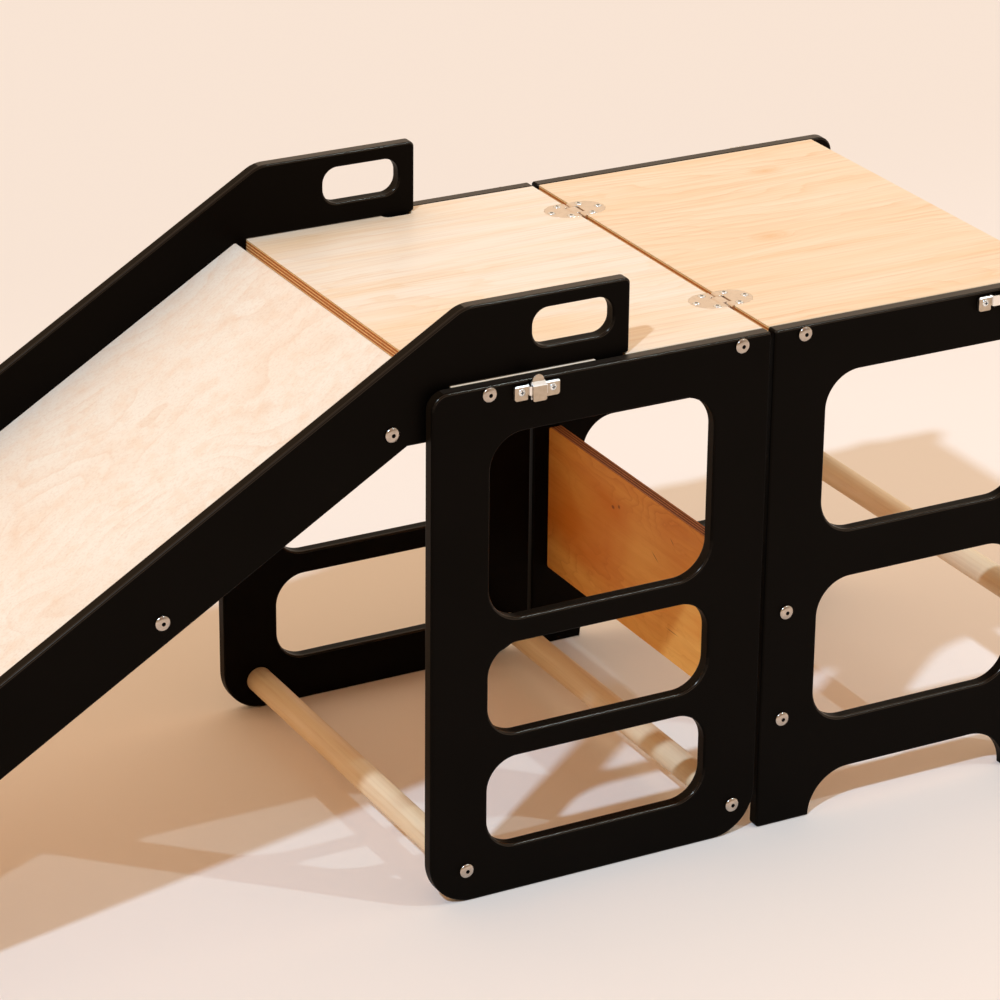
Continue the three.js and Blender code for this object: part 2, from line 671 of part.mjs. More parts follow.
for (const [label, side] of sides) {
  const facing = (body) => (side > 0 ? body : body.mirror([0, 1, 0]));
  const at = (reach) => [reach, (side * OUTER_WIDTH) / 2, 0];
  piece(`latch_${label}_bracket`, facing(bracketOut), "nickel", at(-latchReach));
  piece(`latch_${label}_bolt`, facing(boltOut), "nickel", at(-latchReach));
  piece(`latch_${label}_keeper`, facing(bracketOut), "nickel", at(latchReach));
}

export default group;
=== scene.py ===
"""Looks of the learning tower with slide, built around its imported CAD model."""
import math

import bpy
from mathutils import Matrix, Vector
from mathutils.geometry import tessellate_polygon


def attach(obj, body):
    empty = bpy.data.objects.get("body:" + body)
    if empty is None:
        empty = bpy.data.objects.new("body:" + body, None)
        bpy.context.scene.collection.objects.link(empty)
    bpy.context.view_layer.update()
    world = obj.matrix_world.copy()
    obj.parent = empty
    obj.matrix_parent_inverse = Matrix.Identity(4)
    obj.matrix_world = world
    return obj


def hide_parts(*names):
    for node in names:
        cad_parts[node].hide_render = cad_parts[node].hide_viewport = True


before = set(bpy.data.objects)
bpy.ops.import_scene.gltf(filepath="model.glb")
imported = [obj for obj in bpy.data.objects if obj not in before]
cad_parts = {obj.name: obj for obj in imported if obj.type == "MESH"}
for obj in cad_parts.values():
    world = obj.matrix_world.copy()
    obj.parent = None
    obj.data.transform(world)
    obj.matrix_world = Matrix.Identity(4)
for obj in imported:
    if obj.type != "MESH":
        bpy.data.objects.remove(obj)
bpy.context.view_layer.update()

# Sizes of the CAD model in millimetres, x = 0 at the hinge line
MM = 0.001
HINGE_X = 374.0277839905642
TABLE = 460
WIDTH = 418
SECTION = 314.7
SEAM = 1.7
PLY = 12
ROUNDING = 2
GAP = 0.3
RAIL_GAP = 0.5
PANEL_Y = WIDTH / 2 - PLY / 2
INNER_Y = WIDTH / 2 - PLY
BOARD_Y = INNER_Y - GAP
RAIL_Y = INNER_Y - RAIL_GAP - PLY / 2
RAIL_OUTER_Y = RAIL_Y + PLY / 2
HINGE_Y = 125
SIDES = (("near", -1), ("far", 1))

X = Vector((1, 0, 0))
Y = Vector((0, 1, 0))
Z = Vector((0, 0, 1))

# Limits of the mesh helpers in millimetres, or square ones for a face
SHORTEST_EDGE = 1e-4
SMALLEST_FACE = 1e-9
ON_AXIS = 1e-6
# Cosines of the turns that are shaded smooth, of the longest mitre, and of a rim that is level or faces up
SMOOTH_CORNER = 0.8
SMOOTH_TURN = 0.5
MITRE_LIMIT = 0.2
LEVEL = 0.97
FACING_UP = 0.02
ROUND_SLOTS = 4
CIRCLE_STEPS = 32


# Mesh helpers
def outline(corners, per_quarter):
    """Closed 2D outline from corners (x, y, radius), with a number of steps to a quarter turn."""
    points = []
    for i, corner in enumerate(corners):
        here = Vector(corner[:2])
        radius = corner[2] if len(corner) > 2 else 0
        if not radius:
            points.append(here)
            continue
        back = (Vector(corners[i - 1][:2]) - here).normalized()
        on = (Vector(corners[(i + 1) % len(corners)][:2]) - here).normalized()
        half = math.acos(max(-1, min(1, back.dot(on)))) / 2
        centre = here + (back + on).normalized() * radius / math.sin(half)
        start = here + back * radius / math.tan(half) - centre
        end = here + on * radius / math.tan(half) - centre
        sweep = math.atan2(start.x * end.y - start.y * end.x, start.dot(end))
        steps = max(2, round(abs(sweep) / (math.pi / 2) * per_quarter))
        for k in range(steps + 1):
            points.append(centre + Matrix.Rotation(sweep * k / steps, 2) @ start)
    return [p for i, p in enumerate(points) if (p - points[i - 1]).length > SHORTEST_EDGE]


def rectangle(x0, y0, x1, y1, radius):
    return [(x0, y0, radius), (x1, y0, radius), (x1, y1, radius), (x0, y1, radius)]


def circle(radius, x=0, y=0):
    turns = (2 * math.pi / CIRCLE_STEPS * k for k in range(CIRCLE_STEPS))
    return [Vector((x + radius * math.cos(t), y + radius * math.sin(t))) for t in turns]


def dome(radius, height, degrees, base=0):
    """Points (radius, height) of a dome at the angles given."""
    return [(radius * math.cos(a), base + height * math.sin(a)) for a in map(math.radians, degrees)]


def area(points):
    return sum(a.x * b.y - b.x * a.y for a, b in zip(points, points[1:] + points[:1])) / 2


class Build:
    """Vertices, faces, corner normals and material slots gathered for one mesh."""

    def __init__(self):
        self.verts, self.faces, self.normals, self.slots = [], [], [], []

    def face(self, points, normals, slot):
        start = len(self.verts)
        self.verts.extend(points)
        self.faces.append(tuple(range(start, start + len(points))))
        self.normals.extend(normals)
        self.slots.append(slot)

    def piece(self, name, body, materials, replaced):
        mesh = bpy.data.meshes.new(name)
        mesh.from_pydata([v * MM for v in self.verts], [], self.faces)
        for polygon, slot in zip(mesh.polygons, self.slots):
            polygon.material_index = slot
            polygon.use_smooth = True
        mesh.normals_split_custom_set([tuple(n.normalized()) for n in self.normals])
        for material in materials:
            mesh.materials.append(material)
        made = bpy.data.objects.new(name, mesh)
        bpy.context.scene.collection.objects.link(made)
        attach(made, body)
        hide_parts(*replaced)


class Place:
    """Turns plate coordinates (u, v, w) into the part's frame."""

    def __init__(self, origin, u, v, w):
        self.origin, self.u, self.v, self.w = Vector(origin), u, v, w
        self.flip = u.cross(v).dot(w) < 0

    def point(self, u, v, w):
        return self.origin + self.u * u + self.v * v + self.w * w

    def normal(self, u, v, w):
        return self.u * u + self.v * v + self.w * w

    def moved(self, u, v, w):
        return Place(self.point(u, v, w), self.u, self.v, self.w)


def standing(y):
    return Place((HINGE_X, y, 0), X, Z, -Y)


def add_face(build, place, points, normals, slot):
    points = [place.point(*p) for p in points]
    normals = [place.normal(*n) for n in normals]
    if place.flip:
        points, normals = points[::-1], normals[::-1]
    build.face(points, normals, slot)


def rim_profile(half, rounding, steps):
    """Inset, height and slope up a plate's rim, from its lower face to its upper one."""
    if not rounding:
        return [(0, -half, 0), (0, half, 0)]
    quarter = [math.pi / 2 * k / steps for k in range(steps + 1)]
    upper = [(rounding * (1 - math.cos(a)), half - rounding + rounding * math.sin(a), a) for a in quarter]
    return [(inset, -height, -a) for inset, height, a in upper[::-1]] + upper


def corner_normals(points):
    """For each corner the normals before and after it, joined where the turn is slight, and its mitre."""
    outward = []
    for here, there in zip(points, points[1:] + points[:1]):
        way = (there - here).normalized()
        outward.append(Vector((way.y, -way.x)))
    corners = []
    for i, after in enumerate(outward):
        before = outward[i - 1]
        joined = (before + after).normalized()
        mitre = joined / max(MITRE_LIMIT, joined.dot(after))
        if before.dot(after) > SMOOTH_CORNER:
            before = after = joined
        corners.append((before, after, mitre))
    return corners


def add_plate(build, place, loops, thickness, rounding=0, steps=3, cap_slot=0, rim_slot=0,
              round_slot=None, top_slot=None):
    """Plate centred on w = 0 from an outline and its holes, rounded over at both faces.

    With round_slot given, roundings that face up take one of its four slots, by how far they do, and
    the others take cap_slot. With top_slot given, a level rim on top of the plate takes it.
    """
    half = thickness / 2
    profile = rim_profile(half, rounding, steps)
    rings = [[], []]
    for index, points in enumerate(loops):
        if (area(points) > 0) == (index > 0):
            points = points[::-1]
        corners = corner_normals(points)
        for i, p0 in enumerate(points):
            j = (i + 1) % len(points)
            p1 = points[j]
            (_, n0, mitre0), (n1, _, mitre1) = corners[i], corners[j]
            flat_slot = rim_slot
            if top_slot is not None and n0.y > LEVEL and n1.y > LEVEL:
                flat_slot = cap_slot if index else top_slot
            for (in0, h0, a0), (in1, h1, a1) in zip(profile, profile[1:]):
                rim = [(*(p0 - mitre0 * in0), h0), (*(p1 - mitre1 * in0), h0),
                       (*(p1 - mitre1 * in1), h1), (*(p0 - mitre0 * in1), h1)]
                normals = [
                    (*(n * math.cos(a)), math.sin(a))
                    for n, a in ((n0, a0), (n1, a0), (n1, a1), (n0, a1))
                ]
                slot = flat_slot
                if round_slot is not None and a0 != a1:
                    slot = cap_slot
                    if n1.y > FACING_UP:
                        slot = round_slot + min(ROUND_SLOTS - 1, int(ROUND_SLOTS * n1.y))
                add_face(build, place, rim, normals, slot)
        for ring, (inset, _, _) in zip(rings, (profile[0], profile[-1])):
            ring.append([p - mitre * inset for p, (_, _, mitre) in zip(points, corners)])
    for ring, way in zip(rings, (-1, 1)):
        flat = [p for loop in ring for p in loop]
        for triangle in tessellate_polygon([[Vector((p.x, p.y, 0)) for p in loop] for loop in ring]):
            a, b, c = (flat[k] for k in triangle)
            turn = (b - a).x * (c - a).y - (b - a).y * (c - a).x
            if abs(turn) < SMALLEST_FACE:
                continue
            if (turn > 0) != (way > 0):
                b, c = c, b
            add_face(build, place, [(*p, way * half) for p in (a, b, c)], [(0, 0, way)] * 3, cap_slot)


def add_lathe(build, place, profile, steps, slot=0):
    """Turned form about the w axis from (radius, height) points, with its outside on their right."""
    edges = []
    for (r0, h0), (r1, h1) in zip(profile, profile[1:]):
        way = Vector((r1 - r0, h1 - h0)).normalized()
        edges.append(Vector((way.y, -way.x)))
    for k, ((r0, h0), (r1, h1)) in enumerate(zip(profile, profile[1:])):
        start = end = edges[k]
        if k and edges[k - 1].dot(edges[k]) > SMOOTH_TURN:
            start = (edges[k - 1] + edges[k]).normalized()
        if k + 1 < len(edges) and edges[k + 1].dot(edges[k]) > SMOOTH_TURN:
            end = (edges[k + 1] + edges[k]).normalized()
        for i in range(steps):
            a, b = (2 * math.pi * (i + d) / steps for d in (0, 1))
            ring = [(r0, h0, a, start), (r0, h0, b, start), (r1, h1, b, end), (r1, h1, a, end)]
            if r0 < ON_AXIS:
                ring.pop(1)
            elif r1 < ON_AXIS:
                ring.pop(2)
            corners = [(r * math.cos(t), r * math.sin(t), h) for r, h, t, _ in ring]
            normals = [(n.x * math.cos(t), n.x * math.sin(t), n.y) for _, _, t, n in ring]
            add_face(build, place, corners, normals, slot)


# Material helpers
def node(tree, kind, inputs, **settings):
    made = tree.nodes.new("ShaderNode" + kind)
    for key, value in settings.items():
        setattr(made, key, value)
    for key, value in inputs.items():
        if isinstance(value, bpy.types.NodeSocket):
            tree.links.new(value, made.inputs[key])
        else:
            made.inputs[key].default_value = value
    return made


def srgb(r, g, b):
    """Linear colour of 8-bit display values."""
    linear = (((c / 255 + 0.055) / 1.055) ** 2.4 if c > 10 else c / 255 / 12.92 for c in (r, g, b))
    return (*linear, 1)


def grey(value):
    return (value, value, value, 1)


def new_material(name):
    material = bpy.data.materials.new(name)
    material.use_nodes = True
    material.node_tree.nodes.clear()
    return material, material.node_tree


def surface(tree, inputs):
    shader = node(tree, "BsdfPrincipled", inputs)
    node(tree, "OutputMaterial", {"Surface": shader.outputs[0]})


def coordinates(tree):
    return node(tree, "TexCoord", {}).outputs


def noise(tree, vector, scale, detail=3, rough=0.5, distortion=0.0):
    inputs = {"Vector": vector, "Scale": scale, "Detail": detail, "Roughness": rough,
              "Distortion": distortion}
    return node(tree, "TexNoise", inputs).outputs["Fac"]


def mapped(tree, vector, scale, rotation=(0, 0, 0), location=(0, 0, 0)):
    inputs = {"Vector": vector, "Scale": scale, "Rotation": rotation, "Location": location}
    return node(tree, "Mapping", inputs).outputs["Vector"]


def grained(tree, vector, scale, detail, rough=0.5, distortion=0.0, location=(0, 0, 0)):
    """Noise with a scale of its own along each axis."""
    return noise(tree, mapped(tree, vector, scale, location=location), 1, detail, rough, distortion)


def ramp(tree, fac, *stops, ease="LINEAR"):
    made = node(tree, "ValToRGB", {"Fac": fac})
    made.color_ramp.interpolation = ease
    elements = made.color_ramp.elements
    while len(elements) > 1:
        elements.remove(elements[0])
    for k, (position, colour) in enumerate(stops):
        element = elements[0] if k == 0 else elements.new(position)
        element.position = position
        element.color = colour
    return made.outputs["Color"]


def grey_ramp(tree, fac, *stops, ease="LINEAR"):
    return ramp(tree, fac, *((position, grey(value)) for position, value in stops), ease=ease)


def mix(tree, fac, a, b):
    return node(tree, "Mix", {"Factor": fac, 6: a, 7: b}, data_type="RGBA").outputs[2]


def math_node(tree, operation, a, b=0.0, clamp=False):
    return node(tree, "Math", {0: a, 1: b}, operation=operation, use_clamp=clamp).outputs[0]


def dot(tree, vector, direction):
    return node(tree, "VectorMath", {0: vector, 1: direction}, operation="DOT_PRODUCT").outputs["Value"]


def bumped(tree, height, strength, distance):
    inputs = {"Strength": strength, "Distance": distance, "Height": height}
    return node(tree, "Bump", inputs).outputs["Normal"]


def span(tree, position, centre, size, angle=None):
    """Distance from a centre in units of size along each axis, the axes turned where told."""
    away = node(tree, "VectorMath", {0: position, 1: centre}, operation="SUBTRACT").outputs["Vector"]
    if angle:
        away = mapped(tree, away, (1, 1, 1), angle)
    away = mapped(tree, away, tuple(1 / s for s in size))
    return node(tree, "VectorMath", {0: away}, operation="LENGTH").outputs["Value"]


# Black lacquer: dull and nearly black; browner on the sawn edges, partly their finish and partly painted
# light; top edges painted lighter as a sheen of grazing light; glossier where roundings face up
WARM = (1.0, 0.80, 0.62, 1)


def lacquer(name, dark, pale, rough, specular):
    material, tree = new_material(name)
    place = coordinates(tree)["Object"]
    cloud = noise(tree, place, 11, 4)
    speck = noise(tree, place, 1100, 2)
    surface(tree, {
        "Base Color": ramp(tree, cloud, (0.3, (*dark, 1)), (0.7, (*pale, 1))),
        "Roughness": grey_ramp(tree, cloud, (0.3, rough - 0.04), (0.7, rough + 0.04)),
        "Normal": bumped(tree, speck, 0.05, 0.0003),
        "Specular IOR Level": specular,
        "Specular Tint": WARM,
    })
    return material


# Veneers through a board in millimetres, long grain and end grain by turns, glue lines between
VENEERS = 9
FACE_VENEER = 0.95
INNER_VENEER = (PLY - 2 * FACE_VENEER) / (VENEERS - 2)
GLUE = 0.11
SAWN_ROUGHNESS = 0.68
PLY_TONES = ((255, 232, 186), (255, 210, 136), (208, 112, 32), (100, 40, 8))


def plies_colour(tree, depth, tones):
    """Colour by depth as a share of the board's thickness, from face, pink, orange and glue tones."""
    face, pink, orange, glue = (srgb(*tone) for tone in tones)
    stops = []
    for ply in range(VENEERS):
        low = 0 if ply == 0 else FACE_VENEER + (ply - 1) * INNER_VENEER
        if ply:
            stops.append((low - GLUE, glue))
        tone = face if ply in (0, VENEERS - 1) else orange if ply % 2 == 0 else pink
        stops.append((low + GLUE if ply else 0, tone))
    return ramp(tree, depth, *((max(0, at) / PLY, tone) for at, tone in stops), ease="CONSTANT")


def sawn_plies(tree, coords, normal, top, tones):
    """Colour of a board's sawn edges, and where they show: on faces that stand across its normal."""
    position = coords["Object"]
    depth = math_node(tree, "SUBTRACT", top * MM, dot(tree, position, normal))
    depth = math_node(tree, "DIVIDE", depth, PLY * MM)
    wander = grained(tree, position, (9, 9, 9), 2)
    wander = node(tree, "Math", {0: wander, 1: 0.03, 2: -0.015}, operation="MULTIPLY_ADD").outputs[0]
    depth = math_node(tree, "ADD", depth, wander)
    grain = grained(tree, position, (260, 260, 1500), 3)
    smear = grained(tree, position, (22, 22, 300), 3)
    plies = plies_colour(tree, depth, tones)
    plies = mix(tree, grey_ramp(tree, grain, (0.40, 0.22), (0.62, 0)), plies, srgb(*tones[3]))
    plies = mix(tree, grey_ramp(tree, smear, (0.5, 0), (0.78, 0.2)), plies, srgb(*tones[2]))
    facing = math_node(tree, "ABSOLUTE", dot(tree, coords["Normal"], normal))
    return plies, math_node(tree, "LESS_THAN", facing, 0.6)


# Scales of the veneer's figure per metre, along the grain and across it
RIPPLE = (24, 70, 70)
FADE = (4.2, 15, 15)
FIBRE = (9, 430, 430)
STREAK = (2.4, 70, 70)
PORE = (70, 1500, 1500)
BLOTCH = (3.0, 10, 10)


def wood(name, tones, *, rings, spread, line, patch, turn=(0, 0, 0), shift=(0, 0, 0), across=30.0,
         waver=0.05, fine=1.0, drift=(0, 0, 0), knots=(), marks=(), ply_normal=None, ply_top=0.0,
         ply_tones=PLY_TONES, rough=0.42):
    """Birch veneer with its grain along x once turned, and the plies on its sawn edges where told.

    rings, across, spread and waver shape the growth lines, line and patch set how strongly lines and
    peach patches show, fine the fibres and pores, and drift makes patches commoner along a direction.
    """
    pale, peach, dark = (srgb(*tone) for tone in tones)
    material, tree = new_material(name)
    coords = coordinates(tree)
    position = coords["Object"]
    place = mapped(tree, position, (1, 1, 1), turn, shift)

    # Growth lines, as contours of a stretched noise that bulges at the knots
    contour = grained(tree, place, spread, 1.4, 0.4, 0.3)
    ripple = grained(tree, place, RIPPLE, 2)
    contour = math_node(tree, "ADD", contour, math_node(tree, "MULTIPLY", ripple, waver))
    halo = None
    for centre, size, strength in knots:
        away = span(tree, position, centre, size)
        bulge = grey_ramp(tree, away, (0.0, 1), (0.35, 0.45), (1.0, 0), ease="EASE")
        contour = math_node(tree, "ADD", contour, math_node(tree, "MULTIPLY", bulge, strength))
        spot = grey_ramp(tree, away, (0.0, 1), (0.25, 0.7), (0.6, 0.3), (1.0, 0))
        halo = spot if halo is None else math_node(tree, "MAXIMUM", halo, spot)
    steady = dot(tree, place, (0, across, 0))
    ring = math_node(tree, "ADD", steady, math_node(tree, "MULTIPLY", contour, rings))
    ring = math_node(tree, "FRACT", ring)
    ring = grey_ramp(tree, ring, (0.0, 0), (0.45, 0.08), (0.80, 0.5), (0.93, 1), (1.0, 0))
    fade = grained(tree, place, FADE, 2, location=(3.1, 1.7, 0.4))
    fade = grey_ramp(tree, fade, (0.36, 0.15), (0.62, 1))
    lines = math_node(tree, "MULTIPLY", math_node(tree, "MULTIPLY", ring, fade), line)

    # Patches, lines, streaks, fibres and pores over the pale tone, then knots and marks
    blotch = grained(tree, place, BLOTCH, 3, 0.55, 0.5, location=(0.7, 2.9, 1.3))
    blotch = math_node(tree, "ADD", blotch, dot(tree, position, drift))
    streak = grained(tree, place, STREAK, 3, 0.55, 0.2)
    fibre = grained(tree, place, FIBRE, 4, 0.6)
    pore = grained(tree, place, PORE, 2, 0.6)
    colour = mix(tree, grey_ramp(tree, blotch, (0.38, 0), (0.62, patch)), pale, peach)
    colour = mix(tree, lines, colour, peach)
    colour = mix(tree, grey_ramp(tree, streak, (0.46, 0), (0.74, 0.5)), colour, peach)
    colour = mix(tree, math_node(tree, "MULTIPLY", lines, 0.28), colour, dark)
    colour = mix(tree, grey_ramp(tree, fibre, (0.48, 0), (0.78, 0.30 * fine)), colour, dark)
    colour = mix(tree, grey_ramp(tree, pore, (0.64, 0), (0.80, 0.22 * fine)), colour, dark)
    if halo is not None:
        colour = mix(tree, math_node(tree, "MULTIPLY", halo, 0.75), colour, peach)
        colour = mix(tree, math_node(tree, "MULTIPLY", halo, 0.22), colour, dark)
    for centre, size, angle, tone in marks:
        away = span(tree, position, centre, size, angle)
        colour = mix(tree, grey_ramp(tree, away, (0.3, 0.9), (1.0, 0)), colour, srgb(*tone))

    roughness = grey_ramp(tree, fibre, (0.3, rough - 0.05), (0.7, rough + 0.05))
    if ply_normal:
        plies, edge = sawn_plies(tree, coords, ply_normal, ply_top, ply_tones)
        colour = mix(tree, edge, colour, plies)
        roughness = mix(tree, edge, roughness, grey(SAWN_ROUGHNESS))
    surface(tree, {
        "Base Color": colour,
        "Roughness": roughness,
        "Normal": bumped(tree, fibre, 0.10, 0.0002),
        "Specular IOR Level": 0.4,
    })
    return material


def metal(name, tone, cloudy, rough, brushed):
    material, tree = new_material(name)
    place = coordinates(tree)["Object"]
    cloud = noise(tree, place, 240, 3)
    brush = grained(tree, place, (500, 5000, 500), 2)
    surface(tree, {
        "Base Color": ramp(tree, cloud, (0.3, srgb(*cloudy)), (0.75, srgb(*tone))),
        "Metallic": 1.0,
        "Roughness": grey_ramp(tree, brush, (0.3, rough - 0.05), (0.7, rough + 0.06)),
        "Normal": bumped(tree, brush, brushed, 0.0001),
    })
    return material


# Dull dark colour for sockets and cross recesses: painted shade inside the hollow
def recess_shade(name, tone, rough, specular):
    material, tree = new_material(name)
    cloud = noise(tree, coordinates(tree)["Object"], 500, 2)
    darker = tuple(c * 0.75 for c in tone)
    surface(tree, {
        "Base Color": ramp(tree, cloud, (0.3, srgb(*darker)), (0.7, srgb(*tone))),
        "Roughness": rough,
        "Specular IOR Level": specular,
    })
    return material


# Slide geometry shared by the rails, the screws and the board's plies, by reach away from the hinge line
SLOPE = math.radians(31.1)
KINK = 280.1
HANDLE_TOP = TABLE + 65
BOARD_END = SECTION - 23.2
HOOK_GAP = 0.6
HOOK_X = -(BOARD_END + HOOK_GAP)
HOOK_DROP = 43.8
CHUTE_END = -HOOK_X + 10.2
RAIL_HEIGHT = 68
CHUTE_LIFT = 11
tan_slope, upright = math.tan(SLOPE), 1 / math.cos(SLOPE)


def rail_top(reach):
    return HANDLE_TOP - (reach - KINK) * tan_slope


def rail_bottom(reach):
    return rail_top(reach) - RAIL_HEIGHT * upright


def chute_top(reach):
    return rail_bottom(reach) + (CHUTE_LIFT + PLY) * upright


def bottom_reach(height):
    """Reach at which the rail's underside is at a height."""
    return KINK + (rail_bottom(KINK) - height) / tan_slope


slope_normal = Vector((-math.sin(SLOPE), 0, math.cos(SLOPE)))
chute_plane = Vector((HINGE_X - CHUTE_END, 0, chute_top(CHUTE_END))).dot(slope_normal)

# Finishes
BLACK = lacquer("black_lacquer_face", (0.0010, 0.0007, 0.0005), (0.0020, 0.0014, 0.0010), 0.46, 0.05)
# Sawn edges: the brown tone is partly the edge finish and partly painted light, a warm reflection raised to
# the brightness of lit edges
BLACK_EDGE = lacquer("black_lacquer_edge", (0.0085, 0.0050, 0.0025), (0.0135, 0.008, 0.004), 0.42, 0.03)
# Top edges: their brown-grey base colour is a painted sheen, standing in for the grazing reflection of the
# bright room
BLACK_TOP_SHEEN = lacquer("black_lacquer_top_edge_painted_sheen", (0.016, 0.011, 0.0075), (0.026, 0.019, 0.0135), 0.42, 0.4)
BLACK_ROUNDS = [
    lacquer(f"black_lacquer_rounding_{k}", (0.0012, 0.0009, 0.0007), (0.0022, 0.0017, 0.0013), *shine)
    for k, shine in ((1, (0.40, 0.09)), (2, (0.33, 0.16)), (3, (0.26, 0.26)), (4, (0.20, 0.38)))
]
BASE_BOARD = wood(
    "birch_base_board", ((249, 229, 204), (248, 206, 156), (210, 150, 96)),
    rings=10, across=44, spread=(3.2, 12, 12), waver=0.11, line=0.30, patch=0.7, fine=1.2,
    shift=(0.1, 0.02, 0), drift=(-0.35, 0, 0), ply_normal=(0, 0, 1), ply_top=TABLE,
)
FOLD_BOARD = wood(
    "birch_fold_board", ((247, 220, 184), (245, 194, 138), (218, 148, 90)),
    rings=10, across=78, spread=(3.2, 12, 12), waver=0.10, line=0.50, patch=0.28,
    shift=(0.31, 0.12, 0), ply_normal=(0, 0, 1), ply_top=TABLE,
    knots=[((0.5792, 0.1381, 0.46), (0.024, 0.012, 0.012), 0.22),
           ((0.4922, -0.0117, 0.46), (0.028, 0.014, 0.016), 0.30)],
)
SLIDE_BOARD = wood(
    "birch_slide_board", ((247, 231, 209), (243, 207, 173), (211, 160, 120)),
    rings=20, across=16, spread=(1.4, 5.5, 5.5), waver=0.02, line=0.34, patch=0.25,
    turn=(0, -SLOPE, 0), ply_normal=tuple(slope_normal), ply_top=chute_plane, rough=0.38,
)
GUARD_FACE = 17.4 + PLY
# Guard board: the same birch, its deep orange tones on faces and plies are painted warm shade under the
# table top
GUARD_IN_SHADE = wood(
    "birch_guard_board_painted_shade", ((252, 184, 92), (228, 132, 40), (168, 82, 20)),
    rings=14, across=4, spread=(6, 11, 11), waver=0.24, line=0.50, patch=1.0, fine=0.3,
    turn=(0, 0, math.pi / 2), ply_normal=(1, 0, 0), ply_top=HINGE_X + GUARD_FACE, rough=0.5,
    ply_tones=((226, 146, 80), (210, 136, 80), (132, 68, 28), (48, 20, 8)),
    marks=[((0.3914, 0.0759, 0.1882), (0.01, 0.0034, 0.0022), (0, 0, 0), (136, 48, 8)),
           ((0.3914, 0.0652, 0.1924), (0.01, 0.0026, 0.0024), (0, 0, 0), (150, 62, 16)),
           ((0.3914, -0.0004, 0.1695), (0.01, 0.0080, 0.0007), (-0.5, 0, 0), (146, 66, 20)),
           ((0.3914, -0.0290, 0.1956), (0.01, 0.0045, 0.0007), (-0.6, 0, 0), (156, 74, 24)),
           ((0.3914, -0.0334, 0.1096), (0.01, 0.0130, 0.0006), (0, 0, 0), (156, 80, 28))],
)
BEECH = wood(
    "beech_dowel", ((246, 218, 178), (238, 200, 152), (206, 156, 104)),
    rings=3, spread=(1, 30, 30), line=0.5, patch=0.4, turn=(0, 0, math.pi / 2), rough=0.5,
)
STEEL = metal("steel_screw", (198, 185, 172), (176, 163, 151), 0.20, 0.03)
NICKEL = metal("satin_nickel", (238, 222, 206), (226, 210, 194), 0.32, 0.06)
LATCH_PLATE = metal("latch_nickel", (196, 181, 162), (180, 165, 146), 0.33, 0.04)
# Near-white copy of the latch metal: painted glint on the brows, bends and strap sides
LATCH_GLINT = metal("latch_nickel_painted_glint", (250, 246, 240), (242, 236, 228), 0.4, 0.03)
ZINC = metal("zinc_screw", (246, 248, 248), (226, 232, 234), 0.26, 0.02)
# Hex socket: painted shade inside it
SOCKET_SHADE = recess_shade("socket_painted_shade", (16, 13, 12), 0.7, 0.1)
# Cross recess: painted shade inside it
CROSS_SHADE = recess_shade("cross_recess_painted_shade", (52, 66, 74), 0.5, 0.4)

# Side panels: outlines in x and z, and windows
FOOT = 54.9
ARCH = 39
BASE_OUTLINE = [(-SECTION, 0, 40), (-SEAM, 0, 40), (-SEAM, TABLE, 2.5), (-SECTION, TABLE, 15)]
BASE_WINDOWS = [rectangle(-261.8, low, -53.3, high, radius)
                for low, high, radius in ((43, 125.5, 28), (147, 229.6, 28), (251.4, 415.8, 31))]
FOLD_OUTLINE = [
    (SEAM, 0, 4),
    (FOOT, 0),
    (FOOT, ARCH, ARCH),
    (SECTION - FOOT, ARCH, ARCH),
    (SECTION - FOOT, 0),
    (SECTION, 0, 4),
    (SECTION, TABLE, 15),
    (SEAM, TABLE, 2.5),
]
FOLD_WINDOWS = [rectangle(FOOT, low, 259.8, high, 32) for low, high in ((88, 222), (266, 412))]
FACE_SLOT, EDGE_SLOT, TOP_SLOT, ROUND_SLOT = range(4)


def black_plate(name, loops, y, body):
    """Black panel; the fold half's sawn edges are as dark as its faces, painted shade of the seam between
    the halves given to all of them.
    """
    build = Build()
    # The fold half's rims take the face material: painted shade for the seam between the halves
    rim_slot = FACE_SLOT if body == "fold" else EDGE_SLOT
    add_plate(build, standing(y), [outline(loop, 20) for loop in loops], PLY, ROUNDING, 6,
              FACE_SLOT, rim_slot, ROUND_SLOT, TOP_SLOT)
    materials = [BLACK, BLACK_EDGE, BLACK_TOP_SHEEN] + BLACK_ROUNDS
    build.piece(name + "_face", body, materials, [name])


for label, side in SIDES:
    black_plate("base_side_" + label, [BASE_OUTLINE] + BASE_WINDOWS, side * PANEL_Y, "base")
    black_plate("fold_side_" + label, [FOLD_OUTLINE] + FOLD_WINDOWS, side * PANEL_Y, "fold")

# Slide rails, each with a handle, a hook against the board's end and a tab in its notch
HANDLE_END = -129.1
TAB_START, TAB_END = -158.1, -134.1
TAB_DEPTH = 12
rail_floor = bottom_reach(0)
nose = rail_floor + 44
RAIL_OUTLINE = [
    (HANDLE_END, HANDLE_TOP, 5),
    (-KINK, HANDLE_TOP, 30),
    (-nose, rail_top(nose), 20),
    (-nose, 0, 10),
    (-rail_floor, 0),
    (-bottom_reach(TABLE - HOOK_DROP), TABLE - HOOK_DROP),
    (HOOK_X, TABLE - HOOK_DROP),
    (HOOK_X, TABLE + GAP),
    (TAB_START, TABLE + GAP),
    (TAB_START, TABLE - TAB_DEPTH, 5),
    (TAB_END, TABLE - TAB_DEPTH, 5),
    (TAB_END, TABLE + GAP),
    (HANDLE_END, TABLE + GAP, 2.5),
]
HAND_SLOT = rectangle(-217.9, 479.6, -144.5, 512.2, 14)
for label, side in SIDES:
    black_plate("slide_rail_" + label, [RAIL_OUTLINE, HAND_SLOT], side * RAIL_Y, "slide")

